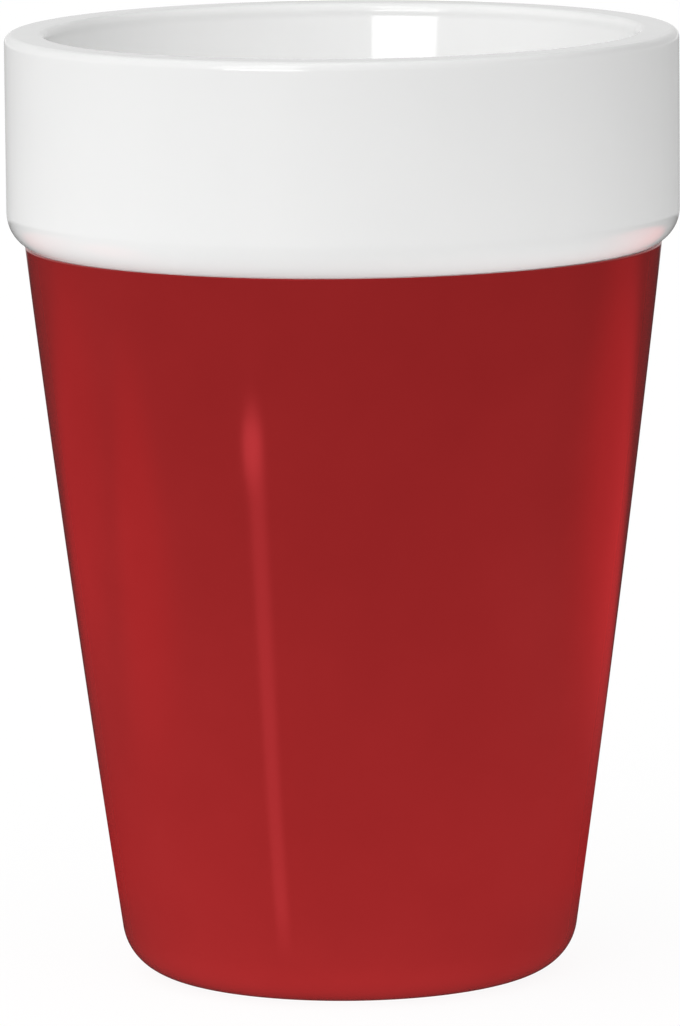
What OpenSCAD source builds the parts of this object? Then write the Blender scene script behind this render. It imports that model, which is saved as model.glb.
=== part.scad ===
// Tall double-walled mug with a wide collar, and the soft plug that closes the vent in its base.
// Millimetres, +Z up. The origin is on the table at the centre of the foot ring.

/* [Overall] */
// Height from the table to the top of the lip
mug_h = 118.5; // [105:0.5:135]

/* [Collar] */
// Outside diameter of the collar
collar_d = 84; // [80:0.5:90]
// Height of the collar, from the top of the lip down to the line where the body starts
collar_h = 26.2; // [20:0.2:34]
// How far the collar stands out from the top of the body
collar_step = 2.2; // [1.2:0.1:3.2]
// Radius of the arc that turns the collar's lower edge in to the body
collar_round = 4.5; // [3.5:0.1:6]

/* [Lip] */
// Thickness of the lip, where the two walls join
lip_w = 5.2; // [4.8:0.1:6]
// Radius of the rounding on both edges of the lip
lip_round = 1.1; // [0.8:0.1:2]
// Depth below the lip's rounding at which the inside starts to taper
mouth_h = 0.6; // [0.6:0.1:3]
// Radius of the blend between the upright mouth and the tapered inside
mouth_round = 4; // [3:1:6]

/* [Body] */
// Diameter that the body would reach at the table if its corner were not rounded
base_d = 55.8; // [52:0.2:62]
// Radius of the rounding between the body and the foot
base_round = 6.5; // [5:0.5:8]
// How far the side bows out at half its height
side_bow = 0.3; // [0:0.1:0.8]

/* [Walls] */
// Thickness of the outer wall
outer_wall = 2.2; // [1.8:0.1:2.6]
// Thickness of the inner wall
inner_wall = 2.1; // [1.8:0.1:2.6]
// Air gap between the two walls at the level of the table
wall_gap = 3; // [2.2:0.1:3.8]
// Radius of the rounded top end of the air gap
gap_top_round = 0.8; // [0.5:0.1:1]
// Radius of the lower corner of the air gap
gap_corner_round = 4; // [3:0.5:5]
// Height of the drinking floor above the table
cup_floor_h = 13; // [11.5:0.5:18]
// Thickness of the drinking floor
cup_floor_t = 2.6; // [2:0.1:3.4]
// Radius between the drinking floor and the inside wall
cup_round = 8; // [5:0.5:9]

/* [Foot] */
// Depth of the recess under the base
recess_h = 1.8; // [1.4:0.1:2.4]
// Thickness of the base over the recess
base_t = 2.6; // [2.2:0.1:3.2]
// Width of the ring that stands on the table
foot_w = 2.4; // [1.6:0.1:3.4]
// Radius of the rounding on the ring's inner edge
foot_round = 0.6; // [0.3:0.1:0.9]
// Radius of the fillet round the recess
recess_round = 0.8; // [0.4:0.1:0.9]

/* [Vent and plug] */
// Diameter of the vent through the base
vent_d = 5; // [4:0.5:6.5]
// Diameter of the plug's head
plug_head_d = 9; // [8:0.5:12]
// Thickness of the plug's head, and depth of its seat
plug_head_t = 1; // [0.6:0.1:1.4]
// Radius of the rounding on the head's lower edge
plug_head_round = 0.4; // [0.2:0.1:0.5]
// Gap between the plug's head and the side of its seat
seat_gap = 0.2; // [0.1:0.05:0.4]
// How far the plug's barb reaches past the side of the vent
barb_lip = 0.7; // [0.4:0.1:1]
// Height of the barb
barb_h = 2.2; // [1.4:0.1:3]
// Diameter of the barb's tip
barb_tip_d = 3; // [2:0.2:3.8]

/* [Hidden] */
$fn = 180;

// Straight stretches that follow the bow of the side
side_steps = 6;
// Overshoot of the cuts that leave through a face
over = 1;

collar_r = collar_d / 2;
body_top_r = collar_r - collar_step;
base_r = base_d / 2;
mouth_r = collar_r - lip_w;
collar_line_z = mug_h - collar_h;
lip_z = mug_h - lip_round;

// Lean of the outside, measured from upright at its lower end
side_rise = (body_top_r - base_r) / collar_line_z;
side_lean = atan(side_rise + 4 * side_bow / (collar_line_z - base_round));

// The collar's lower arc ends where it meets the body at the collar line
collar_arc = [collar_r - collar_round,
              collar_line_z + sqrt(pow(collar_round, 2) - pow(collar_round - collar_step, 2))];

// The inside tapers from the mouth to the drinking floor
cup_floor_r = base_r - outer_wall - wall_gap - inner_wall;
taper_top_z = lip_z - mouth_h;
cup_lean = atan((mouth_r - cup_floor_r) / (taper_top_z - cup_floor_h));
mouth_tangent = mouth_round * tan(cup_lean / 2);

// The air gap lies between the back faces of the two walls
gap_floor_z = recess_h + base_t;
gap_outer_r = collar_r - outer_wall;
shell_floor_z = cup_floor_h - cup_floor_t;
shell_shift = inner_wall / cos(cup_lean);
gap_top_centre_r = gap_outer_r - gap_top_round;
gap_top_z = cup_floor_h
    + (gap_top_centre_r - gap_top_round / cos(cup_lean) - shell_shift - cup_floor_r) / tan(cup_lean);

// Height at which a rounded corner gives way to its leaning wall
function corner_end_z(floor_z, radius, lean) = floor_z + radius * (1 - sin(lean));

side_start_z = corner_end_z(0, base_round, side_lean);
gap_start_z = corner_end_z(gap_floor_z, gap_corner_round, side_lean);
cup_start_z = corner_end_z(cup_floor_h, cup_round, cup_lean);
shell_start_z = corner_end_z(shell_floor_z, cup_round + inner_wall, cup_lean);

// Radius of the outside of the body, of the inside, and of the back of the inner wall
function side_part(z) = (z - side_start_z) / (collar_line_z - side_start_z);
function side_r(z) = base_r + side_rise * z + 4 * side_bow * side_part(z) * (1 - side_part(z));
function cup_r(z) = cup_floor_r + (z - cup_floor_h) * tan(cup_lean);
function shell_r(z) = cup_r(z) + shell_shift;

// Points up a bowed wall that stands a given distance inside the outside of the body
function bowed_wall(low_z, inset) =
    [for (i = [0 : side_steps])
        let (z = low_z + (collar_line_z - low_z) * i / side_steps)
        [side_r(z) - inset / cos(side_lean), z]];

foot_outer_r = side_r(side_start_z) - base_round * cos(side_lean);
foot_inner_r = foot_outer_r - foot_w - foot_round;

// Half section of a filled cup: flat floor, rounded corner, then the wall's points up to its top
module filled_cup(floor_z, corner_r, lean, wall) {
    centre = [wall[0].x - corner_r * cos(lean), floor_z + corner_r];
    polygon(concat([[0, floor_z], [centre.x, floor_z]], wall, [[0, wall[len(wall) - 1].y]]));
    translate(centre) circle(corner_r);
}

// Half section of everything inside the outside surface
module outside_section() {
    filled_cup(0, base_round, side_lean, bowed_wall(side_start_z, 0));
    translate([0, collar_line_z]) square([collar_arc.x, collar_arc.y - collar_line_z]);
    translate(collar_arc) circle(collar_round);
    translate([0, collar_arc.y]) square([collar_r, lip_z - collar_arc.y]);
    translate([0, lip_z]) square([collar_r - lip_round, lip_round]);
    translate([collar_r - lip_round, lip_z]) circle(lip_round);
}

// Half section of the space inside the cup, open at the top
module drinking_space() {
    filled_cup(cup_floor_h, cup_round, cup_lean,
        [[cup_r(cup_start_z), cup_start_z],
         [mouth_r - mouth_tangent * sin(cup_lean), taper_top_z - mouth_tangent * cos(cup_lean)],
         [mouth_r, taper_top_z + mouth_tangent],
         [mouth_r, lip_z]]);
    translate([mouth_r - mouth_round, taper_top_z + mouth_tangent]) circle(mouth_round);
    difference() {
        translate([0, lip_z]) square([mouth_r + lip_round, lip_round + over]);
        translate([mouth_r + lip_round, lip_z]) circle(lip_round);
    }
}

// Half section of the inner wall and all that it holds, as seen from inside the air gap
module inner_shell() {
    filled_cup(shell_floor_z, cup_round + inner_wall, cup_lean,
        [[shell_r(shell_start_z), shell_start_z], [shell_r(mug_h), mug_h]]);
}

// Half section of the closed hollow between the walls
module air_gap() {
    difference() {
        union() {
            filled_cup(gap_floor_z, gap_corner_round, side_lean, bowed_wall(gap_start_z, outer_wall));
            translate([0, collar_line_z])
                square([side_r(collar_line_z) - outer_wall / cos(side_lean), collar_arc.y - collar_line_z]);
            translate(collar_arc) circle(collar_round - outer_wall);
            polygon([[0, collar_arc.y], [gap_outer_r, collar_arc.y], [gap_outer_r, gap_top_z],
                     [gap_top_centre_r - gap_top_round * cos(cup_lean),
                      gap_top_z + gap_top_round * sin(cup_lean)],
                     [0, gap_top_z + gap_top_round * sin(cup_lean)]]);
        }
        inner_shell();
    }
    translate([gap_top_centre_r, gap_top_z]) circle(gap_top_round);
}

// Half section of the recess inside the foot ring, with the ring's rounded inner edge
module foot_recess() {
    translate([0, -over]) square([foot_inner_r, over + recess_h - recess_round]);
    square([foot_inner_r - recess_round, recess_h]);
    translate([foot_inner_r - recess_round, recess_h - recess_round]) circle(recess_round);
    difference() {
        translate([0, -over]) square([foot_inner_r + foot_round, over + foot_round]);
        translate([foot_inner_r + foot_round, foot_round]) circle(foot_round);
    }
}

// Half section of the vent and the seat of the plug's head
module vent() {
    square([vent_d / 2, gap_floor_z + over]);
    square([plug_head_d / 2 + seat_gap, recess_h + plug_head_t]);
}

module mug() {
    color("firebrick") rotate_extrude() difference() {
        outside_section();
        drinking_space();
        air_gap();
        foot_recess();
        vent();
    }
}

// The plug's head fills its seat, its stem fills the vent and its barb grips the inside of the base
module vent_plug() {
    head_r = plug_head_d / 2;
    stem_z = recess_h + plug_head_t;
    color("whitesmoke") rotate_extrude() union() {
        translate([0, recess_h]) square([head_r - plug_head_round, plug_head_round]);
        translate([head_r - plug_head_round, recess_h + plug_head_round]) circle(plug_head_round);
        translate([0, recess_h + plug_head_round]) square([head_r, plug_head_t - plug_head_round]);
        translate([0, stem_z]) square([vent_d / 2, gap_floor_z - stem_z]);
        polygon([[0, gap_floor_z], [vent_d / 2 + barb_lip, gap_floor_z],
                 [barb_tip_d / 2, gap_floor_z + barb_h], [0, gap_floor_z + barb_h]]);
    }
}

mug();
vent_plug();
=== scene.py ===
# %% [markdown]
# # A double-walled porcelain mug
# The mug is one fired piece of porcelain: an inner cup and an outer wall that meet at the lip, with
# air between them. A white collar stands out round the top, and the body below it is glazed red.
# This lesson turns its true section into closed meshes, mixes the two glazes, the bare porcelain and
# the silicone of the little base plug, and lights everything as a product photographer would.
#
# The imported CAD model comes in first. It is the fixed frame: every piece made here has to lie inside
# its box.

# %% Load the imported model
import math

import bmesh
import bpy
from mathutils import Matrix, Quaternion, Vector


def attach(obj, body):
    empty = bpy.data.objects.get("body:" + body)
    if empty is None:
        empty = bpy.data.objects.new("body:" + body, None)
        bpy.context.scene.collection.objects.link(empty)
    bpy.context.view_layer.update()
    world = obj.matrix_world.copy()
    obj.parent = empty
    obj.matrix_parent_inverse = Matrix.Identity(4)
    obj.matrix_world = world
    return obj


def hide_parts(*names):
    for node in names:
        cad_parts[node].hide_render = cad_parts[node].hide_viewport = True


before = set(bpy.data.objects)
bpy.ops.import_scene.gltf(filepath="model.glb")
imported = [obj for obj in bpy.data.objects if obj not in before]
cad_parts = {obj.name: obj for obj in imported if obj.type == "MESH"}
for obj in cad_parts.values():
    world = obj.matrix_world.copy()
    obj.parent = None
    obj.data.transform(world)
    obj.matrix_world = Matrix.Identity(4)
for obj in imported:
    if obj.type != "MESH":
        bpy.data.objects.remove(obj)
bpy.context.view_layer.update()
scene = bpy.context.scene
print("nodes:", sorted(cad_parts))

# %% [markdown]
# ## The camera
# The photograph was taken from about a metre away with a long lens, a little above the mug, so the
# rim is a flat ellipse and the sides hardly converge. A long lens could also be placed closer and
# widened, but then the ellipses of rim and foot would open at different rates. The distance, the
# lens and a tilt of half a degree come from fitting the mug's outline, and the camera aims a
# millimetre beside the mug's centre instead of using lens shift, because that also suits other views.

# %% Camera
MM = 0.001
camera_elevation = math.radians(8.335)
camera_distance = 1129.4 * MM
camera_tilt = math.radians(-0.557)
mug_centre = Vector((0, 0, 59.25 * MM))
aim_offset_right, aim_offset_up = -0.766 * MM, -1.512 * MM

look = Vector((0, math.cos(camera_elevation), -math.sin(camera_elevation)))
right = Vector((1, 0, 0))
up = right.cross(look)
eye = mug_centre - look * camera_distance
aim = mug_centre + right * aim_offset_right + up * aim_offset_up

camera_data = bpy.data.cameras.new("camera")
camera_data.lens = 316.07
camera_data.sensor_width = 36
camera_data.clip_start, camera_data.clip_end = 0.01, 100
camera = bpy.data.objects.new("camera", camera_data)
scene.collection.objects.link(camera)
camera.location = eye
camera.rotation_mode = "QUATERNION"
camera.rotation_quaternion = ((aim - eye).to_track_quat("-Z", "Y")
                              @ Quaternion((0, 0, 1), camera_tilt))
scene.camera = camera
print("camera at", [round(v, 4) for v in eye], "with a", round(camera_data.lens), "mm lens")

# %% [markdown]
# ## From a section to a mesh
# Everything on this mug is round about one axis, so each piece starts as a half section: a chain of
# points, radius and height, that is turned about the axis. Blender's Screw modifier does that too,
# but a short function of our own lets each stretch of the section carry its own finish, and closes
# the mesh in a single point wherever the section meets the axis.

# %% Helpers for sections
def arc(centre, radius, start, stop, step=5):
    """Points along an arc. Angles are in degrees, 0 points away from the axis and 90 points up."""
    count = max(2, math.ceil(abs(stop - start) / step))
    angles = [math.radians(start + (stop - start) * i / count) for i in range(count + 1)]
    return [(centre[0] + radius * math.cos(a), centre[1] + radius * math.sin(a)) for a in angles]


def along(curve, low, high, count, hold=0.15):
    """Points up or down a wall, where curve(height) gives its radius. A close row at each end holds
    the smooth shading of a neighbouring arc off the wall."""
    hold = math.copysign(hold, high - low)
    heights = [low + (high - low) * i / count for i in range(1, count)]
    return [(curve(z), z) for z in (low, low + hold, *heights, high - hold, high)]


def joined(*stretches):
    """One chain from several (finish, points) stretches, as points and the finish of each span."""
    points, finishes = [], []
    for finish, stretch in stretches:
        for point in stretch:
            if points and math.dist(point, points[-1]) < 1e-6:
                continue
            if points:
                finishes.append(finish)
            points.append(point)
    return points, finishes


# %% The lathe
def lathe(name, section, finishes, materials, segments=192):
    """Turns a half section in millimetres about the Z axis. A chain that doesn't end on the axis
    is joined end to start, so the mesh is closed either way."""
    mesh_maker = bmesh.new()
    turns = [2 * math.pi * i / segments for i in range(segments)]
    rings = []
    for radius, height in section:
        if radius < 1e-9:
            rings.append([mesh_maker.verts.new((0, 0, height * MM))])
        else:
            rings.append([mesh_maker.verts.new((radius * MM * math.sin(t), -radius * MM * math.cos(t),
                                                height * MM)) for t in turns])
    pairs = list(zip(rings, rings[1:]))
    if len(rings[0]) > 1:
        pairs.append((rings[-1], rings[0]))
    for (lower, upper), finish in zip(pairs, finishes):
        for i in range(segments):
            j = (i + 1) % segments
            corners = [lower[i % len(lower)], lower[j % len(lower)],
                       upper[j % len(upper)], upper[i % len(upper)]]
            face = mesh_maker.faces.new(list(dict.fromkeys(corners)))
            face.material_index = finish
            face.smooth = True
    bmesh.ops.recalc_face_normals(mesh_maker, faces=mesh_maker.faces)
    mesh = bpy.data.meshes.new(name)
    mesh_maker.to_mesh(mesh)
    mesh_maker.free()
    mesh.set_sharp_from_angle(angle=math.radians(50))
    for material in materials:
        mesh.materials.append(material)
    piece = bpy.data.objects.new(name, mesh)
    scene.collection.objects.link(piece)
    print(f"{name}: {len(section)} points in the section, {len(mesh.polygons)} faces")
    return piece


# %% [markdown]
# ## The mug's own sizes
# These repeat the values of the CAD source, in millimetres. The side leans out at a steady rate and
# bows by three tenths of a millimetre, which is what a plaster mould gives when its pattern is turned by
# hand. Both walls are about two millimetres of porcelain.

# %% Sizes
mug_height, collar_r, body_top_r, foot_r = 118.5, 42.0, 39.8, 27.9
collar_line, lip_line, lip_round = 92.3, 117.4, 1.1
collar_arc_centre, collar_arc_r = (37.5, 96.168), 4.5
side_start, side_bow, base_round = 5.58, 0.3, 6.5
outer_wall, inner_wall = 2.2, 2.1
mouth_r, mouth_round, taper_top = 36.8, 4.0, 116.8
cup_floor, cup_floor_r, cup_round = 13.0, 20.6, 8.0
shell_floor = 10.4
foot_edge_r, foot_flat_r, foot_round = 22.18, 19.78, 0.6
recess_height, recess_round = 1.8, 0.8
seat_r, seat_height, vent_r, gap_floor = 4.7, 2.8, 2.5, 4.4
gap_corner_r, gap_top_round = 4.0, 0.8

side_rise = (body_top_r - foot_r) / collar_line
side_lean = math.atan(side_rise + 4 * side_bow / (collar_line - base_round))
cup_slope = (mouth_r - cup_floor_r) / (taper_top - cup_floor)
cup_lean = math.atan(cup_slope)
shell_shift = inner_wall / math.cos(cup_lean)


def side(z):
    """Radius of the outside of the body at a height."""
    part = (z - side_start) / (collar_line - side_start)
    return foot_r + side_rise * z + 4 * side_bow * part * (1 - part)


def inside(z):
    """Radius of the tapered inside of the cup at a height."""
    return cup_floor_r + (z - cup_floor) * cup_slope


print("the side leans", round(math.degrees(side_lean), 2), "degrees, the inside",
      round(math.degrees(cup_lean), 2))

# %% [markdown]
# ## Glazes, bare porcelain and silicone
# A glaze is a thin layer of glass. White glaze over white porcelain looks plain, yet it is never
# perfectly even: it is brushed by the kiln into very shallow waves, it pools where the surface turns,
# and a few pinholes stay open. Of these, the white glaze here has only the shallow waves, with a faint
# change of tone. Painted textures could show them, but noise in the material keeps its scale on every
# surface and needs no unwrapping. Colours that never change are set on the shader itself; only what
# varies over the surface comes from nodes.

# %% Helpers for materials
def new_material(name):
    """A node material with its Principled shader, ready for more nodes."""
    material = bpy.data.materials.new(name)
    material.use_nodes = True
    nodes, links = material.node_tree.nodes, material.node_tree.links
    shader = nodes["Principled BSDF"]
    place = nodes.new("ShaderNodeTexCoord").outputs["Object"]
    return material, nodes, links, shader, place


def noise(nodes, links, place, size_mm, detail=3.0, roughness=0.5):
    """Noise whose patches are about size_mm across."""
    texture = nodes.new("ShaderNodeTexNoise")
    texture.inputs["Scale"].default_value = 1 / (size_mm * MM)
    texture.inputs["Detail"].default_value = detail
    texture.inputs["Roughness"].default_value = roughness
    links.new(place, texture.inputs["Vector"])
    return texture.outputs["Fac"]


def ramp(nodes, links, value, stops):
    """A colour ramp from (position, colour) stops."""
    node = nodes.new("ShaderNodeValToRGB")
    links.new(value, node.inputs["Fac"])
    elements = node.color_ramp.elements
    while len(elements) < len(stops):
        elements.new(0.5)
    for element, (position, colour) in zip(elements, stops):
        element.position = position
        element.color = (*colour, 1)
    return node.outputs["Color"]


def spread(nodes, links, value, low, high, from_low=0.3, from_high=0.7):
    """Maps a noise value to a range of numbers."""
    node = nodes.new("ShaderNodeMapRange")
    links.new(value, node.inputs["Value"])
    node.inputs["From Min"].default_value = from_low
    node.inputs["From Max"].default_value = from_high
    node.inputs["To Min"].default_value = low
    node.inputs["To Max"].default_value = high
    return node.outputs["Result"]


def bump(nodes, links, height, depth_mm):
    """A bump that is depth_mm deep."""
    node = nodes.new("ShaderNodeBump")
    node.inputs["Distance"].default_value = depth_mm * MM
    links.new(height, node.inputs["Height"])
    return node.outputs["Normal"]


# %% White glaze
white_glaze, nodes, links, shader, place = new_material("white_glaze")
waves = noise(nodes, links, place, 14, detail=2)
tone = noise(nodes, links, place, 30, detail=4)
links.new(ramp(nodes, links, tone, [(0.35, (0.852, 0.853, 0.85)), (0.65, (0.872, 0.872, 0.868))]),
          shader.inputs["Base Color"])
links.new(spread(nodes, links, waves, 0.05, 0.09), shader.inputs["Roughness"])
shader.inputs["IOR"].default_value = 1.5
links.new(bump(nodes, links, waves, 0.02), shader.inputs["Normal"])
print("white glaze: soft waves about 14 mm across and 0.02 mm deep")

# %% [markdown]
# The red glaze is coloured all the way through, so a thicker layer is a deeper red and a thinner one
# lets the white body through. Its gloss is coloured too: the highlight on it is a lighter red and
# not white, which the shader's specular tint gives.

# %% Red glaze
red_glaze, nodes, links, shader, place = new_material("red_glaze")
waves = noise(nodes, links, place, 11, detail=2)
cloud = noise(nodes, links, place, 22, detail=5, roughness=0.6)
links.new(ramp(nodes, links, cloud, [(0.3, (0.278, 0.0165, 0.0170)), (0.7, (0.302, 0.0183, 0.0188))]),
          shader.inputs["Base Color"])
links.new(spread(nodes, links, waves, 0.06, 0.1), shader.inputs["Roughness"])
shader.inputs["IOR"].default_value = 1.5
shader.inputs["Specular Tint"].default_value = (1.0, 0.08, 0.10, 1)
links.new(bump(nodes, links, waves, 0.02), shader.inputs["Normal"])
print("red glaze: slightly clouded, with a red gloss")

# %% [markdown]
# The ring that the mug stands on is wiped clean of glaze before firing, or the mug would stick to
# the kiln shelf. What shows there is bare porcelain: matt, slightly warm, with the fine tooth of
# a surface that was rubbed smooth on a wet stone.

# %% Bare porcelain
bare_porcelain, nodes, links, shader, place = new_material("bare_porcelain")
grain = noise(nodes, links, place, 0.35, detail=4, roughness=0.7)
links.new(ramp(nodes, links, grain, [(0.3, (0.70, 0.69, 0.66)), (0.7, (0.78, 0.77, 0.74))]),
          shader.inputs["Base Color"])
links.new(spread(nodes, links, grain, 0.7, 0.9), shader.inputs["Roughness"])
links.new(bump(nodes, links, grain, 0.03), shader.inputs["Normal"])
print("bare porcelain: grain of a third of a millimetre")

# %% Silicone
silicone, nodes, links, shader, place = new_material("silicone")
haze = noise(nodes, links, place, 0.6, detail=3)
links.new(ramp(nodes, links, haze, [(0.3, (0.66, 0.66, 0.64)), (0.7, (0.72, 0.72, 0.70))]),
          shader.inputs["Base Color"])
links.new(spread(nodes, links, haze, 0.42, 0.55), shader.inputs["Roughness"])
shader.inputs["IOR"].default_value = 1.41
links.new(bump(nodes, links, haze, 0.01), shader.inputs["Normal"])
print("silicone: matt, moulded finish")

# %% [markdown]
# ## The porcelain body
# One chain of points runs all the way round the wall: from the middle of the drinking floor up the
# inside, over the lip, down the collar and the body, under the foot, through the vent and back up
# inside the closed air gap. Two plain cups could be set one in the other instead, but then no view
# of a cut or of the vent would be true. Where the red coat lies, the porcelain is set back by the
# thickness of the coat, so that the two never share a face.

# %% Porcelain section
GLAZED, BARE = 0, 1
coat = 0.25
coat_end_angle = -79.0
middle_r, recess_middle_r = 7, 12
mouth_tangent = mouth_round * math.tan(cup_lean / 2)
mouth_top, mouth_foot = taper_top + mouth_tangent, taper_top - mouth_tangent * math.cos(cup_lean)
lean_degrees, side_degrees = math.degrees(cup_lean), math.degrees(side_lean)
cup_corner_z = cup_floor + cup_round * (1 - math.sin(cup_lean))
cup_corner = (inside(cup_corner_z) - cup_round * math.cos(cup_lean), cup_floor + cup_round)

inside_wall = (
    [(0, cup_floor), (middle_r, cup_floor)] + arc(cup_corner, cup_round, -90, -lean_degrees)
    + along(inside, cup_corner_z, mouth_foot, 30)
    + arc((mouth_r - mouth_round, mouth_top), mouth_round, -lean_degrees, 0, 1.5))
lip = (arc((mouth_r + lip_round, lip_line), lip_round, 180, 90)
       + arc((collar_r - lip_round, lip_line), lip_round, 90, 0))
bed_r = body_top_r - coat
bed_z = collar_arc_centre[1] - math.sqrt(collar_arc_r ** 2 - (bed_r - collar_arc_centre[0]) ** 2)
bed_angle = math.degrees(math.atan2(bed_z - collar_arc_centre[1], bed_r - collar_arc_centre[0]))
collar_wall = (along(lambda z: collar_r, lip_line, collar_arc_centre[1], 10)
               + arc(collar_arc_centre, collar_arc_r, 0, bed_angle, 6))
coat_bed = (along(lambda z: side(z) - coat / math.cos(side_lean), bed_z - 0.1, side_start, 40)
            + arc((foot_edge_r, base_round), base_round - coat, -side_degrees, coat_end_angle))
foot = (arc((foot_edge_r, base_round), base_round, coat_end_angle - 1, -90, 3)
        + arc((foot_flat_r, foot_round), foot_round, -90, -180, 15))
recess_r = foot_flat_r - foot_round
recess = (arc((recess_r - recess_round, recess_height - recess_round), recess_round, 0, 90, 15)
          + [(recess_middle_r, recess_height), (seat_r, recess_height), (seat_r, seat_height),
             (vent_r, seat_height), (vent_r, gap_floor)])
print("the coat's bed starts", round(collar_line - bed_z, 2), "mm under the collar line")

# %% Air gap section
gap_start = gap_floor + gap_corner_r * (1 - math.sin(side_lean))
gap_inset = outer_wall / math.cos(side_lean)
gap_corner = (side(gap_start) - gap_inset - gap_corner_r * math.cos(side_lean),
              gap_floor + gap_corner_r)
neck_r = side(collar_line) - gap_inset
neck_arc_r = collar_arc_r - outer_wall
neck_angle = -math.degrees(math.acos((neck_r - collar_arc_centre[0]) / neck_arc_r))
gap_outer_r = collar_r - outer_wall
gap_top_r = gap_outer_r - gap_top_round
gap_top = cup_floor + (gap_top_r - gap_top_round / math.cos(cup_lean) - shell_shift
                       - cup_floor_r) / cup_slope
shell_round = cup_round + inner_wall
shell_start = shell_floor + shell_round * (1 - math.sin(cup_lean))
shell_corner = (inside(shell_start) + shell_shift - shell_round * math.cos(cup_lean),
                shell_floor + shell_round)
air_gap = (
    arc(gap_corner, gap_corner_r, -90, -side_degrees)
    + along(lambda z: side(z) - gap_inset, gap_start, collar_line, 20)
    + arc(collar_arc_centre, neck_arc_r, neck_angle, 0, 15)
    + arc((gap_top_r, gap_top), gap_top_round, 0, 180 - lean_degrees, 20)
    + along(lambda z: inside(z) + shell_shift, gap_top - 0.6, shell_start, 12)
    + arc(shell_corner, shell_round, -lean_degrees, -90)
    + [(middle_r, shell_floor), (0, shell_floor)])
print("the air gap is", round(gap_top - gap_floor, 1), "mm high")

# %% Porcelain piece
points, finishes = joined((GLAZED, inside_wall), (GLAZED, lip), (GLAZED, collar_wall),
                          (GLAZED, coat_bed), (BARE, foot), (GLAZED, recess), (BARE, air_gap))
porcelain = lathe("porcelain", points, finishes, [white_glaze, bare_porcelain])
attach(porcelain, "root")
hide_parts("mug")

# %% [markdown]
# ## The red coat
# The red glaze is a piece of its own here: a closed skin a quarter of a millimetre thick that starts
# in the corner under the collar and ends just before the foot ring. A line painted in a material
# could divide the two colours as well. A real skin has rounded edges that catch the light and leave
# the hair-thin shadow under the collar, and it can be given another colour on its own.

# %% Red coat piece
buried = 0.05
skin_in = coat + buried
edge = 0.14
top_gap = 0.22
top_z = collar_line - top_gap
coat_outside = along(side, side_start, top_z - edge, 44)
coat_edge_top = arc((side(top_z - edge) - edge, top_z - edge), edge, 0, 90, 18)
coat_inside = along(lambda z: side(z) - skin_in / math.cos(side_lean), top_z, side_start, 20)
coat_under = arc((foot_edge_r, base_round), base_round - skin_in, -side_degrees, coat_end_angle)
coat_turn = arc((foot_edge_r, base_round), base_round, coat_end_angle + 0.6, -side_degrees, 4)
coat_section = coat_outside + coat_edge_top + coat_inside + coat_under + coat_turn
points, finishes = joined((GLAZED, coat_section[:-1]))
red_coat = lathe("red_coat", points, finishes + [GLAZED], [red_glaze])
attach(red_coat, "root")
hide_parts("mug")

# %% [markdown]
# ## The plug
# Hollow porcelain needs a vent in its base, or the air in it would burst it in the kiln. A soft
# plug closes the vent afterwards. The CAD solid already has the plug's true shape, so it stays and
# only gets its silicone.

# %% Plug finish
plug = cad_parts["vent_plug"]
plug.data.materials.clear()
plug.data.materials.append(silicone)

# %% [markdown]
# ## Floor, background and fill light
# Product photographs of white ware are taken on white, where paper and walls send soft light back
# from every side. A very bright lamp on a white floor would also bleach the mug. Here the floor and
# the world show white only to rays from the camera, to reflections and to glass, and light the mug
# at a plain level. A share of the floor stays real paper, so that it still holds a shadow.

# %% Helpers for light levels
def seen_directly(nodes, links):
    """1 for camera, glossy and transmission rays, 0 for the rays that only carry light."""
    path = nodes.new("ShaderNodeLightPath")
    total = path.outputs["Is Camera Ray"]
    for kind in ("Is Glossy Ray", "Is Transmission Ray"):
        adder = nodes.new("ShaderNodeMath")
        adder.operation = "MAXIMUM"
        links.new(total, adder.inputs[0])
        links.new(path.outputs[kind], adder.inputs[1])
        total = adder.outputs[0]
    return total


def chosen(nodes, links, seen, plain, shown):
    """The number `shown` for rays that see the surface, and `plain` for the others. Both may be
    numbers or the outputs of nodes."""
    node = nodes.new("ShaderNodeMix")
    links.new(seen, node.inputs["Factor"])
    for socket, value in zip(("A", "B"), (plain, shown)):
        if isinstance(value, (int, float)):
            node.inputs[socket].default_value = value
        else:
            links.new(value, node.inputs[socket])
    return node.outputs["Result"]


def combined(nodes, links, operation, *values):
    """One number from two, each given as a number or as the output of a node."""
    node = nodes.new("ShaderNodeMath")
    node.operation = operation
    for socket, value in zip(node.inputs, values):
        if isinstance(value, (int, float)):
            socket.default_value = value
        else:
            links.new(value, socket)
    return node.outputs[0]


def faded_level(nodes, links, direction, middle, slope):
    """middle + direction . slope, as a chain of nodes."""
    dot = nodes.new("ShaderNodeVectorMath")
    dot.operation = "DOT_PRODUCT"
    links.new(direction, dot.inputs[0])
    dot.inputs[1].default_value = slope
    return combined(nodes, links, "ADD", dot.outputs["Value"], middle)


# %% [markdown]
# The room is brighter at the front left than at the back right, as beside a big window.
# A sum of lamps would leave steps in the shading of the white collar, so the world itself fades
# evenly: its level follows how far a direction points towards the bright side.

# %% World
fill_level = 0.757
fill_slope = Vector((-0.327, -0.40, 0.061))
world = bpy.data.worlds.new("studio")
scene.world = world
world.use_nodes = True
nodes, links = world.node_tree.nodes, world.node_tree.links
direction = nodes.new("ShaderNodeTexCoord").outputs["Generated"]
plain = faded_level(nodes, links, direction, fill_level, fill_slope)
links.new(chosen(nodes, links, seen_directly(nodes, links), plain, 1.0),
          nodes["Background"].inputs["Strength"])
nodes["Background"].inputs["Color"].default_value = (1, 1, 1, 1)
print("world lights from", round(fill_level - fill_slope.length, 2), "to",
      round(fill_level + fill_slope.length, 2), "and shows white")
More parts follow.
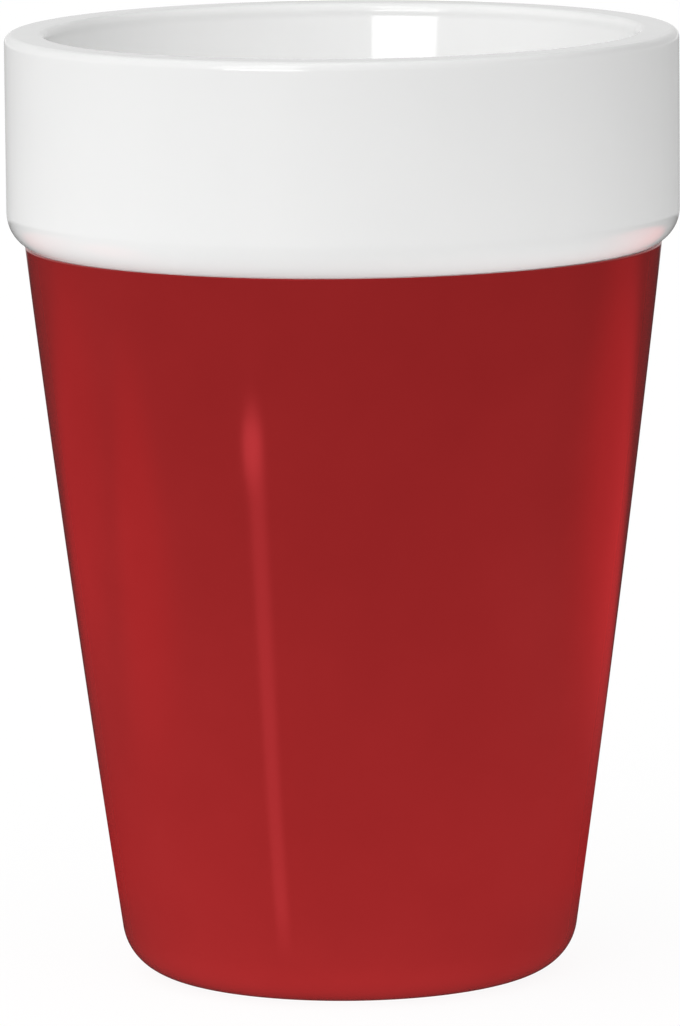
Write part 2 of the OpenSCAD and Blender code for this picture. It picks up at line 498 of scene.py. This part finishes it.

# %% [markdown]
# Floor and cards are flat sheets with one face each.

# %% Flat stage pieces
def flat_piece(name, corners, height_mm, material):
    """A stage piece with one flat face, from its corners in metres, lying at a height."""
    mesh = bpy.data.meshes.new(name)
    mesh.from_pydata([(x, y, height_mm * MM) for x, y in corners], [], [list(range(len(corners)))])
    mesh.materials.append(material)
    piece = bpy.data.objects.new(name, mesh)
    scene.collection.objects.link(piece)
    return piece


# %% [markdown]
# The floor's level isn't even. It is brightest in a wide pool round the mug, with a small
# strong pool where the body rounds in to the foot, and it is dim right under the mug, where no
# light gets in on a real table. A real bright floor would do the same, but would also burn out.

# %% Level of the floor
floor_level = 0.12
floor_slope = (-0.041, 0.12, 0)
# Extra level of each pool, and the distances in metres where it starts to fade and is gone
pools = [(0.75, 0.030, 0.044), (0.99, 0.05, 0.3)]
shade_share, shade_near, shade_far = 0.15, 0.014, 0.034
paper, nodes, links, shader, place = new_material("white_paper")
nodes.remove(shader)
outward = nodes.new("ShaderNodeVectorMath")
outward.operation = "NORMALIZE"
links.new(place, outward.inputs[0])
away = nodes.new("ShaderNodeVectorMath")
away.operation = "LENGTH"
links.new(place, away.inputs[0])
level = floor_level
for extra, near_reach, far_reach in pools:
    pool = spread(nodes, links, away.outputs["Value"], extra, 0, near_reach, far_reach)
    pool.node.interpolation_type = "SMOOTHSTEP"
    level = combined(nodes, links, "ADD", pool, level)
shade = spread(nodes, links, away.outputs["Value"], shade_share, 1, shade_near, shade_far)
shade.node.interpolation_type = "SMOOTHSTEP"
level = combined(nodes, links, "MULTIPLY", level, shade)
plain = faded_level(nodes, links, outward.outputs["Vector"], level, floor_slope)
print("floor level", floor_level, "with", len(pools), "pools of light")

# %% [markdown]
# The paper itself is a mixture: an eighth of it is plain white paper that takes the mug's shadow,
# and the rest is the glow with the level made above. From below the floor is clear, so that the
# foot ring and the plug can be looked at.

# %% Floor
paper_share, paper_white, shown_white = 0.12, 0.9, 1.04
glow = nodes.new("ShaderNodeEmission")
links.new(chosen(nodes, links, seen_directly(nodes, links), plain, shown_white),
          glow.inputs["Strength"])
sheet = nodes.new("ShaderNodeBsdfDiffuse")
sheet.inputs["Color"].default_value = (paper_white, paper_white, paper_white, 1)
surface = nodes.new("ShaderNodeMixShader")
surface.inputs["Fac"].default_value = paper_share
links.new(glow.outputs[0], surface.inputs[1])
links.new(sheet.outputs[0], surface.inputs[2])
clear = nodes.new("ShaderNodeBsdfTransparent")
sides = nodes.new("ShaderNodeMixShader")
links.new(nodes.new("ShaderNodeNewGeometry").outputs["Backfacing"], sides.inputs["Fac"])
links.new(surface.outputs[0], sides.inputs[1])
links.new(clear.outputs[0], sides.inputs[2])
links.new(sides.outputs[0], nodes["Material Output"].inputs["Surface"])
reach = 9
floor = flat_piece("floor", [(-reach, -reach), (reach, -reach), (reach, reach), (-reach, reach)],
                   -0.05, paper)
print("floor is", 2 * reach, "m wide")

# %% [markdown]
# ## Key light
# A soft lamp to the left of the camera, a little above the rim, shapes the collar. Glaze mirrors a
# lamp as well, and what is mirrored tells more about a studio than the light does: a tall curved
# window of light, from the rim's own height up to overhead, shows as the white patch on the inside
# of the back wall and as the short line along the front of the lip. Lamp and window could be one
# area light, but its light and its mirror image could then not be set apart. So the lamp is hidden
# from reflections, and the window is seen by nothing else.

# %% Lamp
lamp_level = 0.256
lamp_azimuth, lamp_elevation, lamp_distance = math.radians(-20), math.radians(12), 1.0
lamp_width, lamp_height = 0.5, 0.6
lamp_data = bpy.data.lights.new("key_lamp", "AREA")
lamp_data.shape = "RECTANGLE"
lamp_data.size, lamp_data.size_y = lamp_width, lamp_height
lamp_data.energy = lamp_level * (math.pi * lamp_distance) ** 2
lamp = bpy.data.objects.new("key_lamp", lamp_data)
scene.collection.objects.link(lamp)
towards_lamp = Vector((math.sin(lamp_azimuth) * math.cos(lamp_elevation),
                       -math.cos(lamp_azimuth) * math.cos(lamp_elevation), math.sin(lamp_elevation)))
lamp.location = mug_centre + towards_lamp * lamp_distance
lamp.rotation_mode = "QUATERNION"
lamp.rotation_quaternion = (-towards_lamp).to_track_quat("-Z", "Y")
lamp.visible_camera = False
lamp.visible_glossy = False
print("lamp power", round(lamp_data.energy, 2), "W")

# %% [markdown]
# White ware swallows light: the inside of a deep mug looks grey even under a bright sky. A small
# downward lamp level with the mouth lifts the inside and nothing else, as the little card does that
# a photographer hides in a cup. The room could be made brighter overhead instead, but then the lip
# would burn out and lose its short highlight.

# %% Fill inside the mug
fill_r, fill_height, fill_brightness = 25 * MM, 118 * MM, 0.5
fill_data = bpy.data.lights.new("inside_fill", "AREA")
fill_data.shape = "DISK"
fill_data.size = 2 * fill_r
fill_data.energy = fill_brightness * math.pi ** 2 * fill_r ** 2
fill = bpy.data.objects.new("inside_fill", fill_data)
scene.collection.objects.link(fill)
fill.location = (0, 0, fill_height)
fill.visible_camera = False
fill.visible_glossy = False
print("inside fill power", round(fill_data.energy, 4), "W")

# %% Cards that only reflections see
WHITE, CARD_RED = (1, 1, 1), (1, 0.06, 0.07)


def glowing(name, colour, brightness):
    """An emission material. Its nodes are handed back, so that a soft edge can be added."""
    material, nodes, links, shader, place = new_material(name)
    nodes.remove(shader)
    glow = nodes.new("ShaderNodeEmission")
    glow.inputs["Color"].default_value = (*colour, 1)
    glow.inputs["Strength"].default_value = brightness
    links.new(glow.outputs[0], nodes["Material Output"].inputs["Surface"])
    return material, nodes, links, glow, place


def mirrored_only(piece):
    """Hides a stage piece from everything except reflections."""
    piece.visible_camera = False
    piece.visible_diffuse = False
    piece.visible_transmission = False
    piece.visible_shadow = False


# %% Window
def curved_card(name, left, right, low, high, distance, brightness):
    """A card bent about the rim of the mug, between two azimuths and two elevations."""
    columns, rows = 12, 12
    corners = []
    for row in range(rows + 1):
        elevation = math.radians(low + (high - low) * row / rows)
        for column in range(columns + 1):
            azimuth = math.radians(left + (right - left) * column / columns)
            corners.append(distance * Vector((math.sin(azimuth) * math.cos(elevation),
                                              -math.cos(azimuth) * math.cos(elevation),
                                              math.sin(elevation))))
    faces = [(i, i + 1, i + columns + 2, i + columns + 1)
             for i in range(rows * (columns + 1)) if i % (columns + 1) != columns]
    mesh = bpy.data.meshes.new(name)
    mesh.from_pydata(corners, [], faces)
    mesh.materials.append(glowing(name + "_light", WHITE, brightness)[0])
    card = bpy.data.objects.new(name, mesh)
    scene.collection.objects.link(card)
    card.location = (0, 0, mug_height * MM)
    mirrored_only(card)


curved_card("window", -39.5, -12.5, 1, 14.5, 1.0, 5.5)
curved_card("window_top", -46, -16, 14.5, 68, 1.0, 2.6)
curved_card("room", -180, 180, 0, 24, 2.4, 0.75)
curved_card("ceiling", -180, 180, 24, 80, 2.4, 0.5)
print("window, its upper part, and the room and ceiling round it")

# %% [markdown]
# ## Cards
# On a white set a glossy piece loses its outline and its colour, because its edges mirror the white
# around it. Photographers lay out cards that only the reflections see. A grey disc on the floor
# keeps the edges of the collar, a black one in its middle draws the thin dark line down both sides
# of the body, and soft red cards round the foot make the flanks glow in the glaze's own colour.
# A small dark disc under the foot keeps the lower corners deep. Every card fades out at its rim,
# so that the glaze shows no hard shapes.

# %% Soft card
def soft_card(name, centre, half_length, half_width, azimuth, height_mm, colour, brightness,
              solid=0.3, waist=None):
    """An elliptical card on the floor, long axis pointing to an azimuth. It is plain up to `solid`
    of the way to its rim and fades out from there. With a `waist` the card is a tapered strip, and
    `waist` is the width of its near end as a share of the far end."""
    material, nodes, links, glow, place = glowing(name, colour, brightness)

    def faded(value, start):
        mask = spread(nodes, links, value, 1, 0, start, 1)
        mask.node.interpolation_type = "SMOOTHSTEP"
        return mask

    if waist is None:
        length = nodes.new("ShaderNodeVectorMath")
        length.operation = "LENGTH"
        links.new(place, length.inputs[0])
        mask = faded(length.outputs["Value"], solid)
    else:
        local = nodes.new("ShaderNodeSeparateXYZ")
        links.new(place, local.inputs[0])
        width = spread(nodes, links, local.outputs["Y"], waist, 1.0, -1, 1)
        across = combined(nodes, links, "DIVIDE", local.outputs["X"], width)
        sides = faded(combined(nodes, links, "ABSOLUTE", across), 0.2)
        ends = faded(combined(nodes, links, "ABSOLUTE", local.outputs["Y"]), solid)
        mask = combined(nodes, links, "MULTIPLY", sides, ends)
    clear = nodes.new("ShaderNodeBsdfTransparent")
    surface = nodes.new("ShaderNodeMixShader")
    links.new(mask, surface.inputs["Fac"])
    links.new(clear.outputs[0], surface.inputs[1])
    links.new(glow.outputs[0], surface.inputs[2])
    links.new(surface.outputs[0], nodes["Material Output"].inputs["Surface"])
    piece = flat_piece(name, [(-1, -1), (1, -1), (1, 1), (-1, 1)], 0, material)
    piece.location = (centre[0], centre[1], height_mm * MM)
    piece.rotation_euler = (0, 0, azimuth + math.pi)
    piece.scale = (half_width, half_length, 1)
    mirrored_only(piece)
    return piece


# %% Cards on the floor
cards = [
    ("grey_disc", (0, 0), 2.6, 2.6, 0, 0.1, WHITE, 0.50, 0.9),
    ("black_disc", (0, 0), 0.75, 0.75, 0, 0.2, WHITE, 0.03, 0.85),
    ("red_pool", (0, 0), 0.17, 0.17, 0, 0.3, CARD_RED, 0.22, 0.4),
    ("foot_disc", (0, 0), 0.062, 0.062, 0, 0.35, WHITE, 0.03, 0.6),
    ("red_left", (-0.24, 0.17), 0.20, 0.17, -121.5, 0.4, CARD_RED, 0.48, 0.3),
    ("red_front", (-0.20, -0.01), 0.13, 0.07, -90, 0.45, CARD_RED, 0.9, 0.3),
    ("red_right", (0.24, 0.17), 0.23, 0.17, 121.5, 0.5, CARD_RED, 1.0, 0.3),
]
for name, centre, half_length, half_width, azimuth, height_mm, colour, brightness, solid in cards:
    soft_card(name, centre, half_length, half_width, math.radians(azimuth), height_mm, colour,
              brightness, solid)
print(len(cards), "floor cards")

# %% [markdown]
# Two small low reflectors, one on each side, lift the lower flanks. They lie just above the floor
# and shine upwards, as silver boards do. The floor's own level could be raised there instead, but
# a small source falls off towards the collar, which is what the flanks need.

# %% Low reflectors
reflectors = [("low_left", -80, 0.145, 0.845), ("low_right", 75, 0.145, 1.50)]
reflector_length, reflector_width = 0.18, 0.12
for name, azimuth, distance, brightness in reflectors:
    data = bpy.data.lights.new(name, "AREA")
    data.shape = "RECTANGLE"
    data.size, data.size_y = reflector_width, reflector_length
    data.energy = brightness * math.pi * reflector_length * reflector_width
    reflector = bpy.data.objects.new(name, data)
    scene.collection.objects.link(reflector)
    turn = math.radians(azimuth)
    reflector.location = (distance * math.sin(turn), -distance * math.cos(turn), 1 * MM)
    reflector.rotation_euler = (math.pi, 0, -turn)
    reflector.visible_camera = False
    reflector.visible_glossy = False
print(len(reflectors), "low reflectors")

# %% [markdown]
# The long streak left of the middle is a painted highlight: a narrow glowing strip with a brighter
# head, lying on the floor in front of the mug, that lights nothing and shows only in reflections.
# On a cone a straight strip shows as a straight streak, so both parts lie on one line on the floor:
# the line was found by following the mirrored rays from the streak's two ends. Light linking lets
# only the red coat see it, because the photograph shows no such line on the collar.

# %% Streak
streak_near = Vector((-16.6, -40.3)) * MM
streak_azimuth = math.radians(-35.6)
streak_line = Vector((math.sin(streak_azimuth), -math.cos(streak_azimuth)))
streak_across = Vector((streak_line.y, -streak_line.x))
# Painted highlight: glowing strips on the floor that only the red coat's reflections see
streak_parts = [("streak_tail", 92, 0, 99, 20, 0.7, 2.05, 0.8, 0.1),
                ("streak_head", 175.5, 3.5, 22.5, 21, 0.8, 5.5, 0.3, None)]
red_only = bpy.data.collections.new("red_only")
red_only.objects.link(red_coat)
for name, along_mm, across_mm, half_mm, width_mm, height_mm, brightness, solid, waist in streak_parts:
    centre = streak_near + (streak_line * along_mm + streak_across * across_mm) * MM
    part = soft_card(name, centre, half_mm * MM, width_mm * MM, streak_azimuth, height_mm,
                     WHITE, brightness, solid, waist)
    part.light_linking.receiver_collection = red_only
print("streak points to azimuth", round(math.degrees(streak_azimuth), 1))

# %% [markdown]
# ## Colour
# The Standard view shows a colour as it is written, so a glaze that looks right here looks right
# under other light.

# %% View
scene.view_settings.view_transform = "Standard"
